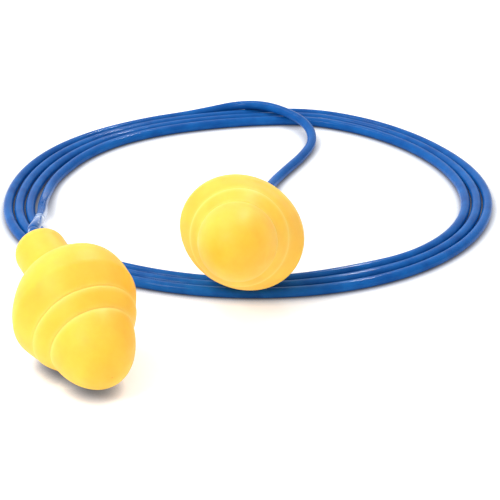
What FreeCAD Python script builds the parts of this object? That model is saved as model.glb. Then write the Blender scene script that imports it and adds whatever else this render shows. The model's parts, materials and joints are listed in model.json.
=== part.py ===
import FreeCAD, Part
import math
import os
import re
import Sketcher
from FreeCAD import Placement, Rotation, Vector

# A pair of premoulded three-flange ear plugs on one cord, lying on a table. The cord is
# coiled flat, one plug lies in front of the coil and the other leans on its front side.
# Millimetres, +Z up, the table top is Z = 0, +X runs to the right and +Y to the back.

doc = FreeCAD.newDocument("EarPlugs")

# ------------------------------------------------------------------ driving dimensions

DIMENSIONS = [
    # moulded plug; heights run along its axis from the mouth of the stem to the tip
    ("plug_length", 21.7),
    ("nose_radius", 3.6),
    ("tip_radius", 4.3),
    ("tip_rim_height", 16.0),
    ("middle_radius", 5.4),
    ("middle_rim_height", 13.9),
    ("rear_radius", 6.6),
    ("rear_rim_height", 10.9),
    ("rear_band", 0.6),
    ("rim_step", 0.45),
    ("lip_radius", 0.2),
    ("neck_height", 6.3),
    ("stem_radius", 2.8),
    ("stem_round", 1.7),
    ("bore_depth", 6.0),
    # cord, and the adhesive bead that holds it in the stem
    ("cord_radius", 0.6),
    # the cord flexes this far behind the stem mouth; the ball drawn there has a running gap
    ("flex_distance", 1.0),
    ("flex_gap", 0.02),
    ("bead_radius", 1.0),
    ("bead_height", 0.5),
    # flat coil; half sizes of its outermost strand, measured on the centre line
    ("coil_half_width", 29.2),
    ("coil_half_depth", 26.35),
    ("strand_pitch", 1.27),
    ("coil_edge_round", 0.5),
]

sheet = doc.addObject("Spreadsheet::Sheet", "Sizes")
for row, (alias, value) in enumerate(DIMENSIONS, start=1):
    sheet.set("A%d" % row, alias)
    sheet.set("B%d" % row, str(value))
    sheet.setAlias("B%d" % row, alias)
doc.recompute()


def size(expression):
    """Number that an expression in the names of the driving dimensions stands for."""
    return float(sheet.evalExpression(expression))


def bound(expression):
    """The same expression as another object has to write it."""
    return re.sub(r"([a-z][a-z_]+)", r"Sizes.\1", expression)


CORD_RADIUS = size("cord_radius")

# ------------------------------------------------------------------ where things lie

COIL_CENTER = Vector(9.33, 33.14, 0)

# Each plug: the middle of its stem mouth measured from the middle of the coil, the way its
# tip points (0 degrees is straight to the front) and how far the tip is raised.
PLUGS = {
    "left": {"mouth": Vector(-22.59, -31.61, 9.42), "turn": 26.0, "raise": -15.6},
    "right": {"mouth": Vector(0.20, -16.05, 5.17), "turn": -4.8, "raise": 15.2},
}


def tip_direction(side):
    turn = math.radians(PLUGS[side]["turn"])
    lift = math.radians(PLUGS[side]["raise"])
    level = math.cos(lift)
    return Vector(level * math.sin(turn), -level * math.cos(turn), math.sin(lift))


def on_plug_axis(side, height):
    """Point at a height above the stem mouth, measured along the plug axis."""
    return COIL_CENTER + PLUGS[side]["mouth"] + tip_direction(side) * height


def plug_placement(side, height=0.0):
    """Origin on the plug axis at that height, with +Z pointing to the tip."""
    return Placement(on_plug_axis(side, height), Rotation(Vector(0, 0, 1), tip_direction(side)))


# ------------------------------------------------------------------ revolved parts

def arc_middle(start, end, radius):
    """Middle of the arc from start to end that bulges to the right on the way."""
    chord = end - start
    sagitta = radius - math.sqrt(radius ** 2 - (chord.Length / 2) ** 2)
    return (start + end) * 0.5 + Vector(chord.y, -chord.x, 0).normalize() * sagitta


def vertex_at(sketch, index, point):
    """Which end of that sketch curve, 1 or 2, sits on the point."""
    return min((1, 2), key=lambda end: sketch.getPoint(index, end).distanceToPoint(point))


def revolved_body(label, outline):
    """Body turned about Z. Outline points are (radius, height, arc to the next or None)."""
    body = doc.addObject("PartDesign::Body", label)
    body.Label = label
    sketch = body.newObject("Sketcher::SketchObject", label + "_outline")
    plane = [feature for feature in body.Origin.OriginFeatures if feature.Role == "XZ_Plane"][0]
    sketch.AttachmentSupport = [(plane, "")]
    sketch.MapMode = "FlatFace"

    points = [Vector(size(across), size(up), 0) for across, up, arc in outline]
    for index, (across, up, arc) in enumerate(outline):
        start = points[index]
        end = points[(index + 1) % len(points)]
        if arc is None:
            sketch.addGeometry(Part.LineSegment(start, end), False)
        else:
            sketch.addGeometry(Part.Arc(start, arc_middle(start, end, size(arc)), end), False)

    for index, (across, up, arc) in enumerate(outline):
        before = (index - 1) % len(points)
        here = vertex_at(sketch, index, points[index])
        there = vertex_at(sketch, before, points[index])
        sketch.addConstraint(Sketcher.Constraint("Coincident", before, there, index, here))
        for kind, axis, expression in (("DistanceX", -2, across), ("DistanceY", -1, up)):
            value = size(expression)
            if value == 0:
                on_axis = Sketcher.Constraint("PointOnObject", index, here, axis)
                sketch.addConstraint(on_axis)
            else:
                distance = Sketcher.Constraint(kind, -1, 1, index, here, value)
                number = sketch.addConstraint(distance)
                sketch.setExpression("Constraints[%d]" % number, bound(expression))
        if arc is not None:
            number = sketch.addConstraint(Sketcher.Constraint("Radius", index, size(arc)))
            sketch.setExpression("Constraints[%d]" % number, bound(arc))

    turned = body.newObject("PartDesign::Revolution", label + "_turned")
    turned.Profile = sketch
    turned.ReferenceAxis = (sketch, ["V_Axis"])
    turned.Angle = 360
    return body


def flank(across, along):
    """Radius of an arc that spans those distances and ends parallel to the plug axis."""
    return "((%s)^2 + (%s)^2) / (2 * (%s))" % (across, along, across)


def plug_outline():
    back = flank("rear_radius - stem_radius", "rear_rim_height - rear_band - neck_height")
    rear = flank("rear_radius - middle_radius + rim_step", "middle_rim_height - rear_rim_height")
    middle = flank(
        "middle_radius - tip_radius + rim_step", "tip_rim_height - middle_rim_height - lip_radius"
    )
    # the tip flank runs into the round nose without a crease
    reach = "(plug_length - nose_radius - tip_rim_height - lip_radius)"
    tip = "(tip_radius^2 + %s^2 - nose_radius^2) / (2 * (tip_radius - nose_radius))" % reach
    nose_across = "nose_radius * (%s - tip_radius) / (%s - nose_radius)" % (tip, tip)
    nose_up = "plug_length - nose_radius + nose_radius * %s / (%s - nose_radius)" % (reach, tip)
    return [
        ("0", "bore_depth", None),
        ("cord_radius", "bore_depth", None),
        ("cord_radius", "0", None),
        ("stem_radius - stem_round", "0", "stem_round"),
        ("stem_radius", "stem_round", None),
        ("stem_radius", "neck_height", back),
        ("rear_radius", "rear_rim_height - rear_band", None),
        ("rear_radius", "rear_rim_height", rear),
        ("middle_radius - rim_step", "middle_rim_height", None),
        ("middle_radius - lip_radius", "middle_rim_height", "lip_radius"),
        ("middle_radius", "middle_rim_height + lip_radius", middle),
        ("tip_radius - rim_step", "tip_rim_height", None),
        ("tip_radius - lip_radius", "tip_rim_height", "lip_radius"),
        ("tip_radius", "tip_rim_height + lip_radius", tip),
        (nose_across, nose_up, "nose_radius"),
        ("0", "plug_length", None),
    ]


def bead_outline():
    """Collar of adhesive around the cord, sloping from the stem mouth down to the cord."""
    return [
        ("cord_radius", "-bead_height", None),
        ("bead_radius", "0", None),
        ("cord_radius", "0", None),
    ]


# ------------------------------------------------------------------ cord

def cord_end(side):
    """Cord held in the stem: from the bottom of the bore to the ball where the cord flexes."""
    outside = "flex_distance - cord_radius - flex_gap"
    end = doc.addObject("Part::Cylinder", side + "_cord_end")
    end.Label = side + "_cord_end"
    end.setExpression("Radius", bound("cord_radius"))
    end.setExpression("Height", bound("bore_depth + " + outside))
    end.Placement = plug_placement(side, -size(outside))
    return end


def cord_neck(side):
    """Short length of limp cord that flexes behind the stem, drawn as a ball."""
    neck = doc.addObject("Part::Sphere", side + "_cord_neck")
    neck.Label = side + "_cord_neck"
    neck.setExpression("Radius", bound("cord_radius"))
    neck.Placement = plug_placement(side, -size("flex_distance"))
    return neck


def extruded_ellipse(name, half_width, half_depth, center):
    ellipse = doc.addObject("Part::Ellipse", name + "_ellipse")
    ellipse.setExpression("MajorRadius", bound(half_width))
    ellipse.setExpression("MinorRadius", bound(half_depth))
    ellipse.Placement.Base = center
    solid = doc.addObject("Part::Extrusion", name)
    solid.Base = ellipse
    solid.Dir = Vector(0, 0, 1)
    solid.setExpression("LengthFwd", bound("2 * cord_radius"))
    solid.Solid = True
    return solid


def cord_coil():
    """Flat bundle of the coiled strands: four on the left and at the back left, else three."""
    inset = "2.5 * strand_pitch + cord_radius"
    shift = size("strand_pitch / 2")
    outside = extruded_ellipse(
        "coil_outside", "coil_half_width + cord_radius", "coil_half_depth + cord_radius", COIL_CENTER
    )
    inside = extruded_ellipse(
        "coil_inside",
        "coil_half_width - (%s)" % inset,
        "coil_half_depth - (%s)" % inset,
        COIL_CENTER + Vector(shift, -shift, 0),
    )
    band = doc.addObject("Part::Cut", "coil_band")
    band.Base = outside
    band.Tool = inside
    doc.recompute()
    coil = doc.addObject("Part::Fillet", "cord_coil")
    coil.Label = "cord_coil"
    coil.Base = band
    rounding = size("coil_edge_round")
    rims = [
        number
        for number, edge in enumerate(band.Shape.Edges, start=1)
        if edge.BoundBox.ZLength < CORD_RADIUS
    ]
    coil.Edges = [(number, rounding, rounding) for number in rims]
    return coil


def rounded_route(points):
    """Straight runs between the points, joined by tangent arcs; also returns the arc radii."""
    edges = []
    radii = []
    start = points[0]
    for before, corner, after in zip(points, points[1:], points[2:]):
        arriving = (corner - before).normalize()
        leaving = (after - corner).normalize()
        half_turn = arriving.getAngle(leaving) / 2
        trim = 0.45 * min((corner - before).Length, (after - corner).Length)
        arc_start = corner - arriving * trim
        arc_end = corner + leaving * trim
        radius = trim / math.tan(half_turn)
        inward = (leaving - arriving).normalize()
        arc_center = corner + inward * (radius / math.cos(half_turn))
        arc_top = arc_center - inward * radius
        edges.append(Part.LineSegment(start, arc_start).toShape())
        edges.append(Part.Arc(arc_start, arc_top, arc_end).toShape())
        radii.append(radius)
        start = arc_end
    edges.append(Part.LineSegment(start, points[-1]).toShape())
    return Part.Wire(edges), radii


def cord_tail(side, route):
    """Round cord from the coil to the ball behind the plug, swept along its route."""
    to_plug = -size("flex_distance + cord_radius + flex_gap")
    points = [COIL_CENTER + point for point in route]
    points += [on_plug_axis(side, to_plug - TAIL_LEAD[side]), on_plug_axis(side, to_plug)]
    path, radii = rounded_route(points)
    section = Part.Wire(Part.Circle(points[0], points[1] - points[0], CORD_RADIUS).toShape())
    tube = path.makePipeShell([section], True, False)
    tail = doc.addObject("Part::Feature", side + "_cord_tail")
    tail.Label = side + "_cord_tail"
    tail.Shape = tube
    expected = math.pi * CORD_RADIUS ** 2 * path.Length
    print(side, "tail length %.1f, smallest bend %.2f, volume ratio %.4f" % (
        path.Length, min(radii), tube.Volume / expected))
    return tail


# Straight cord left behind each ball before it starts to bend.
TAIL_LEAD = {"left": 2.8, "right": 3.6}

# Way points of the two loose ends, measured from the middle of the coil: out of the bundle,
# over the strands that lie beside it and on to the plug.
LEFT_ROUTE = [
    Vector(-23.9, 7.0, 0.60),
    Vector(-25.0, 1.6, 0.75),
    Vector(-24.9, -4.4, 1.75),
    Vector(-24.3, -10.8, 3.70),
    Vector(-24.0, -17.3, 7.00),
    Vector(-24.1, -23.0, 9.90),
]
RIGHT_ROUTE = [
    Vector(-8.4, 25.4, 0.60),
    Vector(-5.0, 26.8, 0.70),
    Vector(-1.4, 27.5, 1.10),
    Vector(2.0, 25.3, 2.10),
    Vector(5.4, 22.8, 2.10),
    Vector(8.0, 19.4, 1.40),
    Vector(8.6, 15.4, 0.70),
    Vector(7.0, 10.8, 0.65),
    Vector(4.6, 5.4, 0.70),
    Vector(2.9, -0.1, 1.10),
    Vector(1.6, -5.6, 2.20),
]

# ------------------------------------------------------------------ assembly

sub_parts = [cord_coil()]
for side, route in (("left", LEFT_ROUTE), ("right", RIGHT_ROUTE)):
    plug = revolved_body(side + "_plug", plug_outline())
    plug.Placement = plug_placement(side)
    bead = revolved_body(side + "_bond_bead", bead_outline())
    bead.Placement = plug_placement(side)
    sub_parts += [plug, bead, cord_end(side), cord_neck(side), cord_tail(side, route)]
doc.recompute()

os.makedirs("parts", exist_ok=True)
for item in doc.Objects:
    faults = [word for word in item.State if word in ("Invalid", "Error")]
    if faults:
        raise RuntimeError("%s is in state %s" % (item.Label, faults))
for part in sub_parts:
    shape = part.Shape
    if shape.isNull() or not shape.isValid() or len(shape.Solids) != 1:
        raise RuntimeError("%s has no valid single solid" % part.Label)
    shape.exportStep("parts/%s.step" % part.Label)
    box = shape.BoundBox
    print("%-18s volume %8.2f  x %7.2f %7.2f  y %7.2f %7.2f  z %6.2f %6.2f" % (
        part.Label, shape.Volume, box.XMin, box.XMax, box.YMin, box.YMax, box.ZMin, box.ZMax))
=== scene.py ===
import json
import math

import bmesh
import bpy
from mathutils import Matrix, Vector, noise


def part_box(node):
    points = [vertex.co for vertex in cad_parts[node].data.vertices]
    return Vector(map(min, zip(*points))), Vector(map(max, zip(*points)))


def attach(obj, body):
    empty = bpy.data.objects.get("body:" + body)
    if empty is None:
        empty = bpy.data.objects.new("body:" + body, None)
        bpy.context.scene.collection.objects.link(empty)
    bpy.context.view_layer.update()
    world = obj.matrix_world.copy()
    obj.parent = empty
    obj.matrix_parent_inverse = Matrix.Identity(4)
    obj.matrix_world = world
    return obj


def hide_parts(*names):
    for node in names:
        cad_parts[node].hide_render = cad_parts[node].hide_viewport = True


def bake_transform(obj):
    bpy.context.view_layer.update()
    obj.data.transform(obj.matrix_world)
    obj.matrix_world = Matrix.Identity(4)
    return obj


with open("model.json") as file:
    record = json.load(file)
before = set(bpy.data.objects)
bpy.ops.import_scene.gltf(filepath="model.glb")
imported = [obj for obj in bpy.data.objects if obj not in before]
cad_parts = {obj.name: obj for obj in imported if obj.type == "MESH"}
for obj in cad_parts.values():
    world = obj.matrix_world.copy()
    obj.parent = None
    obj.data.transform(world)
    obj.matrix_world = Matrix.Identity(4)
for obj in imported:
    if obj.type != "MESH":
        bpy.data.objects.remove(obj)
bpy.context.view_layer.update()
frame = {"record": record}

# A pair of premoulded ear plugs on one coiled blue cord, on a pale table. Metres.

record = frame["record"]
mounts = {mount["name"]: mount for mount in record["mounts"]}
joints = {joint["child"]: joint for joint in record["behaviour"]["joints"]}

MM = 0.001
SIDES = ("left", "right")

# ---------------------------------------------------------------- sizes from the frame

coil_low, coil_high = (Vector(corner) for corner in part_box("cord_coil"))
CORD_DIAMETER = coil_high.z - coil_low.z
CORD_RADIUS = CORD_DIAMETER / 2
COIL_CENTER = Vector(((coil_low.x + coil_high.x) / 2, (coil_low.y + coil_high.y) / 2, 0))
# half the coil's width and depth, to the middle of its outermost strand
COIL_HALF_WIDTH = (coil_high.x - coil_low.x) / 2 - CORD_RADIUS
COIL_HALF_DEPTH = (coil_high.y - coil_low.y) / 2 - CORD_RADIUS

# each plug's tip, its direction from stem to tip, and the point that it turns about
TIP = {side: Vector(mounts[side + "_ear_seal"]["pos_m"]) for side in SIDES}
TO_TIP = {side: Vector(mounts[side + "_ear_seal"]["axis"]).normalized() for side in SIDES}
PIVOT = {side: Vector(joints[side + "_plug"]["pos_m"]) for side in SIDES}

# the cord flexes this far behind the mouth of each stem
FLEX_DISTANCE = 1.0 * MM
MOUTH = {side: PIVOT[side] + TO_TIP[side] * FLEX_DISTANCE for side in SIDES}
PLUG_LENGTH = (TIP["left"] - MOUTH["left"]).length


# ---------------------------------------------------------------- shared by all pieces

def smooth_step(value):
    """Smooth rise from 0 to 1 while the value goes from 0 to 1."""
    value = min(1.0, max(0.0, value))
    return value * value * (3 - 2 * value)


def bell(value, middle, reach):
    """Smooth bump that is 1 at the middle and fades out on both sides of it."""
    return math.exp(-(((value - middle) / reach) ** 2))


def round_steps(count):
    """Cosine and sine of evenly spaced directions, once round a circle."""
    angles = [2 * math.pi * step / count for step in range(count)]
    return [(math.cos(angle), math.sin(angle)) for angle in angles]


def skin(mesh, rings):
    """Faces from each ring of vertices to the next one."""
    count = len(rings[0])
    for lower, upper in zip(rings, rings[1:]):
        for step in range(count):
            after = (step + 1) % count
            mesh.faces.new((lower[step], lower[after], upper[after], upper[step]))


def finished_piece(name, mesh, material):
    """Smooth-shaded object from a bmesh, in its material."""
    bmesh.ops.recalc_face_normals(mesh, faces=mesh.faces)
    data = bpy.data.meshes.new(name)
    mesh.to_mesh(data)
    mesh.free()
    data.polygons.foreach_set("use_smooth", [True] * len(data.polygons))
    data.materials.append(material)
    piece = bpy.data.objects.new(name, data)
    bpy.context.collection.objects.link(piece)
    return piece


# ---------------------------------------------------------------- materials

PLUG_DEEP = (0.97, 0.49, 0.038)
PLUG_PALE = (1.0, 0.575, 0.054)
# painted highlight: the thin flange edges are painted paler, in place of the light that shines on
# and through them
PLUG_LIP_PAINTED_HIGHLIGHT = (1.0, 0.63, 0.12)
CORD_DEEP = (0.004, 0.073, 0.29)
CORD_PALE = (0.008, 0.112, 0.385)
# painted highlight: a pale sheen painted on the raised cord end by the left plug
CORD_PAINTED_SHEEN = (0.55, 0.68, 0.90)
BEAD_DEEP = (0.72, 0.80, 0.90)
BEAD_PALE = (0.95, 0.97, 1.0)
FLOOR_DEEP = (0.67, 0.69, 0.72)
FLOOR_PALE = (0.70, 0.72, 0.75)
# painted shade: narrow gaps between things on the table are painted dark blue
FLOOR_PAINTED_SHADE = (0.10, 0.13, 0.22)
BLACK = (0, 0, 0)
WHITE = (1, 1, 1)


class Nodes:
    """Small helper that adds and joins the nodes of one material or world."""

    def __init__(self, owner):
        owner.use_nodes = True
        self.tree = owner.node_tree

    def add(self, kind, settings=None, **inputs):
        """Add a node, change its settings and feed its inputs, given by their names."""
        node = self.tree.nodes.new(kind)
        for key, value in (settings or {}).items():
            setattr(node, key, value)
        for key, value in inputs.items():
            self.feed(node.inputs[key.replace("_", " ")], value)
        return node

    def feed(self, socket, value):
        """Join another node's output to the socket, or set a plain value on it."""
        if isinstance(value, bpy.types.NodeSocket):
            self.tree.links.new(value, socket)
        else:
            socket.default_value = value

    def ramp(self, factor, low, high):
        """Colour ramp between two (position, colour) stops."""
        node = self.add("ShaderNodeValToRGB", Fac=factor)
        for element, (position, colour) in zip(node.color_ramp.elements, (low, high)):
            element.position = position
            element.color = (*colour, 1)
        return node.outputs["Color"]

    def mixed(self, factor, under, colour):
        """Colour output that goes from `under` to a plain colour as the factor rises."""
        node = self.add("ShaderNodeMix", {"data_type": "RGBA"})
        first, second = [socket for socket in node.inputs if socket.type == "RGBA"]
        self.feed(node.inputs["Factor"], factor)
        self.feed(first, under)
        self.feed(second, (*colour, 1))
        return next(socket for socket in node.outputs if socket.type == "RGBA")

    def mapped(self, value, source, target):
        """The value carried from one (start, end) range to another."""
        node = self.add("ShaderNodeMapRange", Value=value)
        for name, limit in zip(("From Min", "From Max", "To Min", "To Max"), (*source, *target)):
            self.feed(node.inputs[name], limit)
        return node.outputs["Result"]

    def product(self, first, second):
        """The two values multiplied."""
        node = self.add("ShaderNodeMath", {"operation": "MULTIPLY"})
        self.feed(node.inputs[0], first)
        self.feed(node.inputs[1], second)
        return node.outputs["Value"]

    def noise(self, scale, detail=3.0, roughness=0.5):
        """Cloudy value from 0 to 1. The scale is in cells per metre."""
        place = self.add("ShaderNodeTexCoord").outputs["Object"]
        node = self.add("ShaderNodeTexNoise", Vector=place)
        self.feed(node.inputs["Scale"], scale)
        self.feed(node.inputs["Detail"], detail)
        self.feed(node.inputs["Roughness"], roughness)
        return node.outputs["Fac"]

    def bump(self, height, distance, strength):
        """Surface direction for a relief of this height. The distance is in metres."""
        node = self.add("ShaderNodeBump", Height=height, Distance=distance, Strength=strength)
        return node.outputs["Normal"]

    def attribute(self, name):
        """A number stored on the mesh's vertices."""
        return self.add("ShaderNodeAttribute", {"attribute_name": name}).outputs["Fac"]


def new_material(name):
    """A material, the helper for its nodes, and the inputs of its shader."""
    material = bpy.data.materials.new(name)
    made = Nodes(material)
    return material, made, made.tree.nodes["Principled BSDF"].inputs


def plug_material():
    """Soft satin elastomer: warm yellow, cloudy, with a fine grain. Light spreads inside it."""
    material, made, shader = new_material("plug_elastomer")
    # clouds of about 4 mm and a grain of about 0.1 mm
    cloudy = made.noise(scale=260, detail=4.0, roughness=0.55)
    fine = made.noise(scale=9000, detail=2.0, roughness=0.6)
    body = made.ramp(cloudy, low=(0.35, PLUG_DEEP), high=(0.68, PLUG_PALE))
    # the "lip" numbers on the mesh paint the thin flange edges paler: a painted highlight
    made.feed(shader["Base Color"], made.mixed(made.attribute("lip"), body, PLUG_LIP_PAINTED_HIGHLIGHT))
    made.feed(shader["Roughness"], made.mapped(fine, source=(0, 1), target=(0.40, 0.56)))
    made.feed(shader["Normal"], made.bump(fine, distance=0.03 * MM, strength=0.35))
    # red light goes furthest inside it and blue light the least
    shader["Subsurface Weight"].default_value = 0.55
    shader["Subsurface Radius"].default_value = (1.0, 0.45, 0.10)
    shader["Subsurface Scale"].default_value = 2.2 * MM
    shader["IOR"].default_value = 1.42
    shader["Specular IOR Level"].default_value = 0.42
    return material


def cord_material():
    """Glossy blue vinyl with a slightly uneven skin, and pale streaks of painted sheen on the
    raised end by the left plug.
    """
    material, made, shader = new_material("cord_vinyl")
    # patches of about 2.4 mm and a grain of about 0.2 mm
    patches = made.noise(scale=420)
    fine = made.noise(scale=5200, roughness=0.6)
    vinyl = made.ramp(patches, low=(0.35, CORD_DEEP), high=(0.70, CORD_PALE))
    # painted sheen: pale streaks stand in for shine, only where the mesh's "glue" numbers say so
    streaks = made.ramp(made.noise(scale=480, detail=2.0), low=(0.50, BLACK), high=(0.58, WHITE))
    painted_sheen = made.product(streaks, made.attribute("glue"))
    made.feed(shader["Base Color"], made.mixed(painted_sheen, vinyl, CORD_PAINTED_SHEEN))
    made.feed(shader["Roughness"], made.mapped(fine, source=(0, 1), target=(0.11, 0.19)))
    made.feed(shader["Normal"], made.bump(fine, distance=0.01 * MM, strength=0.15))
    shader["Specular IOR Level"].default_value = 0.08
    return material


def adhesive_material():
    """Clear glue, faintly milky, with an uneven surface."""
    material, made, shader = new_material("clear_adhesive")
    milky = made.noise(scale=2600)
    made.feed(shader["Base Color"], made.ramp(milky, low=(0.3, BEAD_DEEP), high=(0.7, BEAD_PALE)))
    made.feed(shader["Roughness"], milky)
    made.feed(shader["Normal"], made.bump(milky, distance=0.05 * MM, strength=0.4))
    shader["Transmission Weight"].default_value = 0.55
    shader["IOR"].default_value = 1.47
    return material


# ---------------------------------------------------------------- plug

# radii of the three flanges, the rounded nose and the stem with its rounded end
TIP_RADIUS = 4.3 * MM
MIDDLE_RADIUS = 5.4 * MM
REAR_RADIUS = 6.6 * MM
NOSE_RADIUS = 3.6 * MM
STEM_RADIUS = 2.8 * MM
STEM_ROUND = 1.9 * MM
# heights above the stem mouth: where the back of the plug starts, and the rim of each flange
NECK = 6.3 * MM
REAR_RIM = 10.9 * MM
MIDDLE_RIM = 13.9 * MM
TIP_RIM = 16.0 * MM
# radius of the hollow turn from the stem to the back
NECK_FILLET = 0.9 * MM
# the rear rim is a short straight band with a round shoulder above it
REAR_BAND = 0.6 * MM
SHOULDER = 2.0 * MM
# the free edge of the two smaller flanges is rounded with this radius
LIP = 0.22 * MM
# the side below stops this far inside that edge, and this share of a lip above the rim's height
GROOVE = 0.04 * MM
GROOVE_OPENING = 0.15
# how domed the side of a flange is: 0 is a plain cone
FLANK_DOME = 0.15
# a bore a little wider than the cord, with a rounded edge; only its first part is made here
BORE_RADIUS = CORD_RADIUS * 1.06
BORE_DEPTH = 2.2 * MM
BORE_EDGE = 0.25 * MM
# the bore's end is flat, with a very small face of this radius in its middle
BORE_END_RADIUS = 0.02 * MM
PLUG_SEGMENTS = 144

# Each plug has its own shallow dents from handling: how many there are in a metre, how deep
# they are as a share of the radius, and where in the noise each plug takes them from.
DENTS_PER_METRE = 150
DENT_DEPTH = 0.012
DENT_PLACE = {"left": Vector((0, 0, 3.0)), "right": Vector((0, 0, 9.0))}


def arc(center, radius, start, end, steps):
    """Points of a circle arc as (radius, height), angles in degrees from the outward direction."""
    points = []
    for step in range(steps + 1):
        angle = math.radians(start + (end - start) * step / steps)
        points.append((center[0] + radius * math.cos(angle), center[1] + radius * math.sin(angle)))
    return points


def flank(root, rim, steps):
    """Slightly domed side of a flange, from its rim to the root of the flange above."""
    points = []
    for step in range(steps + 1):
        rise = step / steps
        inwards = (1 - FLANK_DOME) * rise + FLANK_DOME * rise ** 2
        radius = rim[0] - (rim[0] - root[0]) * inwards
        points.append((radius, rim[1] + (root[1] - rim[1]) * rise))
    return points


def lip(radius, height):
    """Rounded free edge of a flange, from the groove under it out to its side."""
    return arc((radius - LIP, height + LIP), LIP, start=-82, end=0, steps=10)


def plug_profile():
    """Outline of the plug as (radius, height above the mouth), from inside the bore to the tip."""
    points = [(BORE_END_RADIUS, BORE_DEPTH), (BORE_RADIUS, BORE_DEPTH)]
    points += arc((BORE_RADIUS + BORE_EDGE, BORE_EDGE), BORE_EDGE, start=180, end=270, steps=6)
    points += arc((STEM_RADIUS - STEM_ROUND, STEM_ROUND), STEM_ROUND, start=-88, end=0, steps=14)

    # concave neck where the stem meets the round back of the rear flange
    neck_center = (STEM_RADIUS + NECK_FILLET, NECK - NECK_FILLET)
    points += arc(neck_center, NECK_FILLET, start=180, end=118, steps=8)
    back_height = REAR_RIM - REAR_BAND
    across = REAR_RADIUS - STEM_RADIUS
    along = back_height - NECK
    back_radius = (across ** 2 + along ** 2) / (2 * across)
    points += arc((REAR_RADIUS - back_radius, back_height), back_radius, start=-78, end=0, steps=26)

    # short round shoulder, then the long side of the rear flange and the two smaller flanges
    points += arc((REAR_RADIUS - SHOULDER, REAR_RIM), SHOULDER, start=0, end=24, steps=6)[1:]
    middle_root = (MIDDLE_RADIUS - GROOVE, MIDDLE_RIM + GROOVE_OPENING * LIP)
    points += flank(middle_root, points[-1], steps=24)[1:-1]
    points += lip(MIDDLE_RADIUS, MIDDLE_RIM)
    tip_root = (TIP_RADIUS - GROOVE, TIP_RIM + GROOVE_OPENING * LIP)
    points += flank(tip_root, (MIDDLE_RADIUS, MIDDLE_RIM + LIP), steps=18)[1:-1]
    points += lip(TIP_RADIUS, TIP_RIM)

    # the tip's side curves in until it meets the round nose
    reach = PLUG_LENGTH - NOSE_RADIUS - TIP_RIM - LIP
    side = (TIP_RADIUS ** 2 + reach ** 2 - NOSE_RADIUS ** 2) / (2 * (TIP_RADIUS - NOSE_RADIUS))
    turn = math.degrees(math.atan2(reach, side - TIP_RADIUS))
    points += arc((TIP_RADIUS - side, TIP_RIM + LIP), side, start=0, end=turn, steps=12)[1:]
    nose_center = (0, PLUG_LENGTH - NOSE_RADIUS)
    points += arc(nose_center, NOSE_RADIUS, start=turn, end=90, steps=22)[1:-1]
    return points


def plug_frame(side):
    """Matrix from plug axes (origin at the stem mouth, +Z to the tip, +X level) to the frame."""
    z_axis = TO_TIP[side]
    x_axis = Vector((0, 0, 1)).cross(z_axis).normalized()
    y_axis = z_axis.cross(x_axis)
    turned = Matrix((x_axis, y_axis, z_axis)).transposed().to_4x4()
    return Matrix.Translation(MOUTH[side]) @ turned


def squeezed(x, y, height):
    """The right plug's rear flange leans on the coil and is squeezed into a slanted oval."""
    slant = math.radians(-28)
    # the oval grows from the first height over a rise, and fades from the second over a fall
    start, rise = 5.5 * MM, 3.5 * MM
    end, fall = 11.3 * MM, 2.6 * MM
    longer, narrower, lower = 0.06, 0.07, 0.1 * MM

    amount = smooth_step((height - start) / rise) * (1 - smooth_step((height - end) / fall))
    along = x * math.cos(slant) + y * math.sin(slant)
    across = y * math.cos(slant) - x * math.sin(slant)
    along *= 1 + longer * amount
    across *= 1 - narrower * amount
    x = along * math.cos(slant) - across * math.sin(slant)
    y = along * math.sin(slant) + across * math.cos(slant) - lower * amount
    return x, y


def bent(x, y, height):
    """The left plug's back leans to the right and up, its nose and its stem to the left."""
    nose_start, nose_rise = 14.5 * MM, 5 * MM
    stem_end, stem_fall = 4.0 * MM, 2.5 * MM
    back = bell(height, middle=8.0 * MM, reach=2.2 * MM)
    rim = bell(height, middle=11.6 * MM, reach=1.4 * MM)
    nose = smooth_step((height - nose_start) / nose_rise)
    stem = 1 - smooth_step((height - stem_end) / stem_fall)
    rim_wider, back_narrower = 0.022, 0.035
    back_right, back_up = 0.36 * MM, 0.2 * MM
    stem_left, nose_left = 0.12 * MM, 0.15 * MM

    x *= 1 + rim_wider * rim - back_narrower * back
    x += back_right * back - stem_left * stem - nose_left * nose
    y += back_up * back
    return x, y


def fuller(x, y, height):
    """The left plug's front flanges bulge, most down to the left and a little less to the right."""
    front = bell(height, middle=15.0 * MM, reach=2.6 * MM)
    turn = math.atan2(y, x)
    down_left, right = math.radians(-130), math.radians(15)
    below = max(0.0, math.cos(turn - down_left)) ** 2
    beside = max(0.0, math.cos(turn - right)) ** 2
    below_bulge, beside_bulge = 0.085, 0.065

    bulge = 1 + front * (below_bulge * below + beside_bulge * beside)
    return x * bulge, y * bulge


def softened(point, side):
    """Small departures from a perfect turning: handling dents and an uneven mould."""
    swell = 1 + DENT_DEPTH * noise.noise(point * DENTS_PER_METRE + DENT_PLACE[side])
    x, y, height = point.x * swell, point.y * swell, point.z
    if side == "right":
        x, y = squeezed(x, y, height)
    else:
        x, y = bent(x, y, height)
        x, y = fuller(x, y, height)
    return Vector((x, y, height))


def lip_painted_highlight(height):
    """How much painted highlight the thin moulded edges get at this height, 0 to 1."""
    above_rim, reach = 0.8 * LIP, 1.5 * LIP
    total = sum(bell(height, rim + above_rim, reach) for rim in (MIDDLE_RIM, TIP_RIM))
    return min(1.0, total)


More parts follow.
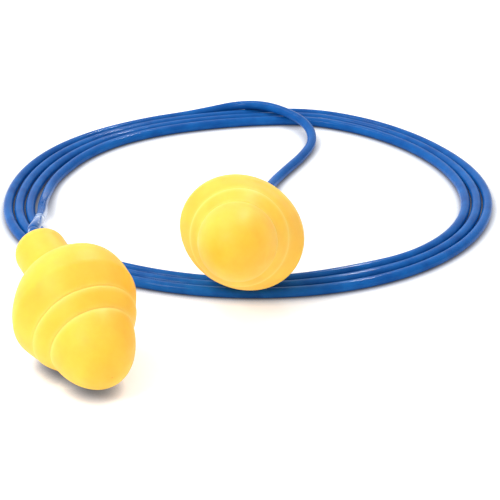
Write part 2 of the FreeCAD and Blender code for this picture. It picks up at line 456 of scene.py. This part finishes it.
def build_plug(side, material):
    """One moulding: its outline turned about its axis, then softened, with a blind bore."""
    to_world = plug_frame(side)
    mesh = bmesh.new()
    # the "lip" layer holds how much painted highlight each vertex gets
    lip_highlight_layer = mesh.verts.layers.float.new("lip")
    rings = []
    for radius, height in plug_profile():
        ring = []
        for cosine, sine in round_steps(PLUG_SEGMENTS):
            point = Vector((radius * cosine, radius * sine, height))
            vertex = mesh.verts.new(to_world @ softened(point, side))
            vertex[lip_highlight_layer] = lip_painted_highlight(height)
            ring.append(vertex)
        rings.append(ring)
    skin(mesh, rings)
    tip = mesh.verts.new(to_world @ Vector((0, 0, PLUG_LENGTH)))
    for step in range(PLUG_SEGMENTS):
        mesh.faces.new((rings[-1][step], rings[-1][(step + 1) % PLUG_SEGMENTS], tip))
    mesh.faces.new(list(reversed(rings[0])))
    plug = finished_piece(side + "_plug_moulding", mesh, material)
    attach(plug, side + "_plug")
    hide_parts(side + "_plug")


# ---------------------------------------------------------------- cord

# from one strand to the next, where they lie closest
STRAND_PITCH = 1.2 * MM
TURNS = 3
STEPS_A_TURN = 24
# where the coil's inside strand starts and its outside strand ends, in degrees from +X
FIRST_TURN_ANGLE = 148.0
LAST_TURN_ANGLE = 118.0 - TURNS * 360.0
# where each turn starts to move out by one strand, and over how many degrees it does so
MOVE_OUT_ANGLE = 106
MOVE_OUT_ARC = 40

# distance from each plug's turning point to the cord's next control point, straight behind it
TAIL_LEAD = {"left": 0.6 * MM, "right": 4.2 * MM}
# share of the modelled bore that the cord goes into
BORE_FILLED = 0.9
# length of cord at each end that flexes, bore included, and where it is split in two
END_REACH = 12.0 * MM
NECK_SPLIT = 2.0 * MM
# points along the curve for each control point, and round the cord
CURVE_STEPS = 12
CORD_SEGMENTS = 20

# The coil isn't a true ellipse. Directions in degrees from +X, how far round each swelling
# reaches, and how much further out it puts every strand.
SWELLINGS = [
    (-163, 13, 0.45 * MM),
    (-145, 13, 0.75 * MM),
    (-50, 40, 0.65 * MM),
    (28, 20, -0.6 * MM),
    (72, 14, 0.65 * MM),
    (122, 28, -0.75 * MM),
    (165, 20, -0.3 * MM),
]
# where the strands lie further apart, in the same way
OPENINGS = [
    (-110, 16, 0.12 * MM),
    (-66, 18, 0.6 * MM),
    (-25, 18, 0.12 * MM),
    (5, 14, 0.2 * MM),
    (80, 28, 0.17 * MM),
    (152, 14, 0.08 * MM),
    (165, 26, 0.2 * MM),
    (-174, 16, 0.08 * MM),
]

# way points of the loose ends from the coil towards the plugs, from the middle of the coil,
# in millimetres
LEFT_ROUTE = [
    (-23.35, 6.4, 0.60),
    (-24.4, 2.8, 0.62),
    (-24.8, -1.4, 0.75),
    (-24.65, -6.2, 1.80),
    (-24.1, -11.2, 3.60),
    (-23.6, -16.2, 5.30),
    (-23.3, -21.2, 7.20),
    (-23.0, -26.6, 9.15),
]
RIGHT_ROUTE = [
    (-8.2, 24.9, 0.60),
    (-5.0, 26.0, 0.85),
    (-1.5, 26.4, 1.48),
    (2.0, 25.1, 2.05),
    (5.2, 22.7, 2.00),
    (8.0, 19.7, 1.40),
    (8.5, 15.6, 0.75),
    (7.1, 11.3, 0.65),
    (4.9, 6.9, 0.65),
    (2.8, 2.3, 0.70),
    (1.6, -4.2, 1.60),
]

# the painted sheen starts to thin out this far from the left stem's mouth, and is gone this much
# further
SHEEN_REACH = 6 * MM
SHEEN_FADE = 12 * MM
# there is none below this height, and it is at its fullest this much higher
SHEEN_HEIGHT = 2 * MM
SHEEN_RISE = 3 * MM


def around(angle, places):
    """Sum of smooth bumps at the listed directions."""
    total = 0.0
    for direction, reach, amount in places:
        off = (angle - direction + 180) % 360 - 180
        total += amount * bell(off, 0, reach)
    return total


def lane(angle):
    """Strands between this one and the outermost: each turn moves out by one at the back."""
    moved = sum(
        smooth_step((MOVE_OUT_ANGLE - (angle + 360 * turn)) / MOVE_OUT_ARC) for turn in range(TURNS)
    )
    return TURNS - moved


def coil_points():
    """Control points of the coiled turns, wound outwards from the inside strand."""
    step = 360 / STEPS_A_TURN
    # a spline of this order cuts inside its control points by this much
    widen = 1 / math.cos(math.radians(step / 2))
    points = []
    count = round((FIRST_TURN_ANGLE - LAST_TURN_ANGLE) / step)
    for index in range(count + 1):
        angle = FIRST_TURN_ANGLE - index * step
        turn = math.radians(angle)
        inset = lane(angle) * (STRAND_PITCH + around(angle, OPENINGS)) - around(angle, SWELLINGS)
        across = (COIL_HALF_WIDTH - inset) * math.cos(turn) * widen
        deep = (COIL_HALF_DEPTH - inset) * math.sin(turn) * widen
        points.append(COIL_CENTER + Vector((across, deep, CORD_RADIUS)))
    return points


def route_points():
    """Control points of the whole cord, from the left plug round the coil to the right plug."""
    left = [COIL_CENTER + Vector(point) * MM for point in LEFT_ROUTE]
    right = [COIL_CENTER + Vector(point) * MM for point in RIGHT_ROUTE]
    start, end = (
        [
            MOUTH[side] + TO_TIP[side] * BORE_DEPTH * BORE_FILLED,
            PIVOT[side] - TO_TIP[side] * TAIL_LEAD[side],
        ]
        for side in SIDES
    )
    return start + left[::-1] + coil_points() + right + end[::-1]


def spline_line(points):
    """Points along the NURBS curve that has those control points."""
    curve = bpy.data.curves.new("cord_route", "CURVE")
    curve.dimensions = "3D"
    curve.resolution_u = CURVE_STEPS
    spline = curve.splines.new("NURBS")
    spline.points.add(len(points) - 1)
    for target, point in zip(spline.points, points):
        target.co = (*point, 1)
    spline.order_u = 3
    spline.use_endpoint_u = True
    holder = bpy.data.objects.new("cord_route", curve)
    bpy.context.collection.objects.link(holder)
    line = bpy.data.meshes.new_from_object(holder)
    found = [vertex.co.copy() for vertex in line.vertices]
    bpy.data.objects.remove(holder)
    bpy.data.meshes.remove(line)
    return found


def painted_sheen_amount(point):
    """How much painted sheen the cord gets here: only on the raised part by the left plug."""
    near = 1 - smooth_step(((point - MOUTH["left"]).length - SHEEN_REACH) / SHEEN_FADE)
    raised = smooth_step((point.z - SHEEN_HEIGHT) / SHEEN_RISE)
    return near * raised


def tube(name, path, material):
    """Round cord of even thickness along the path, closed at both ends."""
    mesh = bmesh.new()
    # the "glue" layer holds how much painted sheen each vertex gets
    sheen_layer = mesh.verts.layers.float.new("glue")
    rings = []
    side = None
    for index, point in enumerate(path):
        ahead = path[min(index + 1, len(path) - 1)] - path[max(index - 1, 0)]
        ahead.normalize()
        if side is None:
            side = ahead.orthogonal()
        side = (side - ahead * side.dot(ahead)).normalized()
        other = ahead.cross(side)
        ring = []
        for cosine, sine in round_steps(CORD_SEGMENTS):
            vertex = mesh.verts.new(point + (side * cosine + other * sine) * CORD_RADIUS)
            vertex[sheen_layer] = painted_sheen_amount(point)
            ring.append(vertex)
        rings.append(ring)
    skin(mesh, rings)
    mesh.faces.new(rings[0])
    mesh.faces.new(rings[-1])
    return finished_piece(name, mesh, material)


def build_cord_end(side, line, material):
    """Two short lengths at the cord's end, where the real cord flexes as the plug swings and lifts.
    """
    behind = [(point - MOUTH[side]).dot(TO_TIP[side]) for point in line]
    split = min(range(len(line)), key=lambda index: abs(behind[index] + NECK_SPLIT))
    neck = tube(side + "_cord_neck_flex", line[split:], material)
    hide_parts(side + "_cord_neck")
    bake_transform(neck)
    end = tube(side + "_cord_end_flex", line[:split + 1], material)
    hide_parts(side + "_cord_end")
    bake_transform(end)
    return [neck, end]


def build_cord(material):
    """The whole cord in five lengths: the part that stays with the coil, and two at each end."""
    line = spline_line(route_points())
    run = [0.0]
    for before, after in zip(line, line[1:]):
        run.append(run[-1] + (after - before).length)
    first = next(index for index, far in enumerate(run) if far > END_REACH)
    last = next(index for index, far in enumerate(run) if far > run[-1] - END_REACH)

    main = tube("cord_main", line[first:last + 1], material)
    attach(main, "cord")
    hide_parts("cord_coil", "left_cord_tail", "right_cord_tail")
    ends = []
    for side, piece_line in (("left", line[:first + 1]), ("right", line[last:][::-1])):
        ends += build_cord_end(side, piece_line, material)
    print("cord length from bore to bore %.4f m" % run[-1])


# ---------------------------------------------------------------- adhesive

# the bead stands this far out from the cord at the mouth and reaches this far along the cord
BEAD_SPREAD = 0.55 * MM
BEAD_LENGTH = 0.85 * MM
# it starts this far inside the bore, and its inner wall ends this far along the cord
BEAD_SINK = 0.12 * MM
BEAD_INNER_LENGTH = 0.7 * MM
# how hollow its slope is: 1 is a plain cone
BEAD_HOLLOW = 1.8
# how uneven it is, how closely its lumps follow each other, and where in the noise they are
BEAD_WOBBLE = 0.18
BEAD_LUMPS = 1.7
BEAD_LUMP_PLACE = 4.0
# its thin edge ends just outside the cord
BEAD_CLEARANCE = 1.01
BEAD_STEPS = 12
BEAD_SEGMENTS = 48


def build_bead(side, material):
    """Uneven meniscus of glue round the cord at the stem mouth."""
    mesh = bmesh.new()
    to_world = plug_frame(side)
    rings = []
    for part in range(BEAD_STEPS + 1):
        rise = part / BEAD_STEPS
        ring = []
        for cosine, sine in round_steps(BEAD_SEGMENTS):
            lump = noise.noise(Vector((cosine, sine, BEAD_LUMP_PLACE)) * BEAD_LUMPS)
            wobble = 1 + BEAD_WOBBLE * lump
            spread = BEAD_SPREAD * (1 - rise) ** BEAD_HOLLOW * wobble
            radius = CORD_RADIUS * BEAD_CLEARANCE + spread
            height = BEAD_SINK - rise * BEAD_LENGTH * wobble
            point = Vector((radius * cosine, radius * sine, height))
            ring.append(mesh.verts.new(to_world @ point))
        rings.append(ring)
    for height in (-BEAD_INNER_LENGTH, BEAD_SINK):
        ring = []
        for cosine, sine in round_steps(BEAD_SEGMENTS):
            point = Vector((cosine * CORD_RADIUS, sine * CORD_RADIUS, height))
            ring.append(mesh.verts.new(to_world @ point))
        rings.append(ring)
    skin(mesh, rings + rings[:1])
    bead = finished_piece(side + "_glue_bead", mesh, material)
    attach(bead, side + "_plug")
    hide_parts(side + "_bond_bead")


# ---------------------------------------------------------------- floor, light, camera

FLOOR_HALF_WIDTH = 3.0
# painted light: how strongly the floor glows where nothing is close
FLOOR_GLOW = 0.42
# things closer than this to the floor darken it with painted shade and dim its glow
GAP_REACH = 1.6 * MM
# openness, from 0 to 1, at which the floor takes the full painted shade
FULLY_CLOSED = 0.35

# direction of the brightest surroundings, and how bright they are opposite it and in it
BRIGHTEST = Vector((-0.45, 0.50, 0.74)).normalized()
SURROUNDINGS = (0.22, 1.42)
# the lights are aimed in front of the middle of the coil
LIGHT_AIM = COIL_CENTER + Vector((-0.005, -0.02, 0))

CAMERA_LENS = 140.0
CAMERA_PLACE = COIL_CENTER + Vector((0, -0.2177, 0.1006))
# degrees below level, and degrees turned to the right
CAMERA_TILT = 26.36
CAMERA_TURN = 0.06


def build_floor():
    """Wide pale table top that glows, with painted dark blue shade in narrow gaps."""
    material, made, shader = new_material("table_top")
    grain = made.noise(scale=30, detail=2.0)
    occlusion = made.add("ShaderNodeAmbientOcclusion", {"samples": 8}, Distance=GAP_REACH)
    openness = occlusion.outputs["AO"]
    closed = made.mapped(openness, source=(1, FULLY_CLOSED), target=(0, 1))
    table = made.ramp(grain, low=(0.3, FLOOR_DEEP), high=(0.7, FLOOR_PALE))
    # painted shade: the floor colour turns dark blue where things are close
    made.feed(shader["Base Color"], made.mixed(closed, table, FLOOR_PAINTED_SHADE))
    shader["Roughness"].default_value = 0.6
    # painted light: the floor glows, which keeps the wide shadows pale; the glow fades where things
    # are close, a painted contact shadow
    shader["Emission Color"].default_value = (*WHITE, 1)
    made.feed(shader["Emission Strength"], made.product(openness, FLOOR_GLOW))
    low, high = -FLOOR_HALF_WIDTH, FLOOR_HALF_WIDTH
    corners = [(low, low, 0), (high, low, 0), (high, high, 0), (low, high, 0)]
    data = bpy.data.meshes.new("table_top")
    data.from_pydata(corners, [], [(0, 1, 2, 3)])
    data.materials.append(material)
    floor = bpy.data.objects.new("table_top", data)
    bpy.context.collection.objects.link(floor)


def build_world():
    """White surroundings, brightest above and behind on the left, dimmer towards the viewer."""
    world = bpy.data.worlds.new("studio")
    made = Nodes(world)
    background = made.tree.nodes["Background"].inputs
    background["Color"].default_value = (*WHITE, 1)
    facing = made.add("ShaderNodeVectorMath", {"operation": "DOT_PRODUCT"})
    made.feed(facing.inputs[0], made.add("ShaderNodeTexCoord").outputs["Generated"])
    made.feed(facing.inputs[1], BRIGHTEST)
    strength = made.mapped(facing.outputs["Value"], source=(-1, 1), target=SURROUNDINGS)
    made.feed(background["Strength"], strength)
    bpy.context.scene.world = world


def build_light(name, offset, size, power):
    """Rectangular light, placed from the point that it is aimed at. Its power is in watts."""
    data = bpy.data.lights.new(name, "AREA")
    data.shape = "RECTANGLE"
    data.size, data.size_y = size
    data.energy = power
    light = bpy.data.objects.new(name, data)
    light.location = LIGHT_AIM + Vector(offset)
    light.rotation_euler = (LIGHT_AIM - light.location).to_track_quat("-Z", "Y").to_euler()
    bpy.context.collection.objects.link(light)
    return light


def build_lights():
    """Wide light from above on the left, a smaller one from the front left, and a small spark."""
    build_light("key", offset=(-0.20, 0.10, 0.40), size=(0.16, 0.12), power=0.42)
    build_light("fill", offset=(-0.19, -0.20, 0.27), size=(0.10, 0.10), power=0.50)
    # adds no light to matt surfaces, only shine: it makes small streaks on the front strands
    spark = build_light("spark", offset=(0.088, 0.19, 0.29), size=(0.014, 0.014), power=0.45)
    spark.visible_diffuse = False


def build_camera():
    """Long lens that looks down on the coil from 24 cm away."""
    data = bpy.data.cameras.new("camera")
    data.lens = CAMERA_LENS
    data.clip_start = 0.01
    camera = bpy.data.objects.new("camera", data)
    camera.location = CAMERA_PLACE
    camera.rotation_euler = (math.radians(90 - CAMERA_TILT), 0, math.radians(-CAMERA_TURN))
    bpy.context.collection.objects.link(camera)
    bpy.context.scene.camera = camera


# ---------------------------------------------------------------- making

elastomer = plug_material()
vinyl = cord_material()
glue = adhesive_material()
for side in SIDES:
    build_plug(side, elastomer)
    build_bead(side, glue)
build_cord(vinyl)
build_floor()
build_world()
build_lights()
build_camera()
bpy.context.scene.view_settings.view_transform = "Standard"
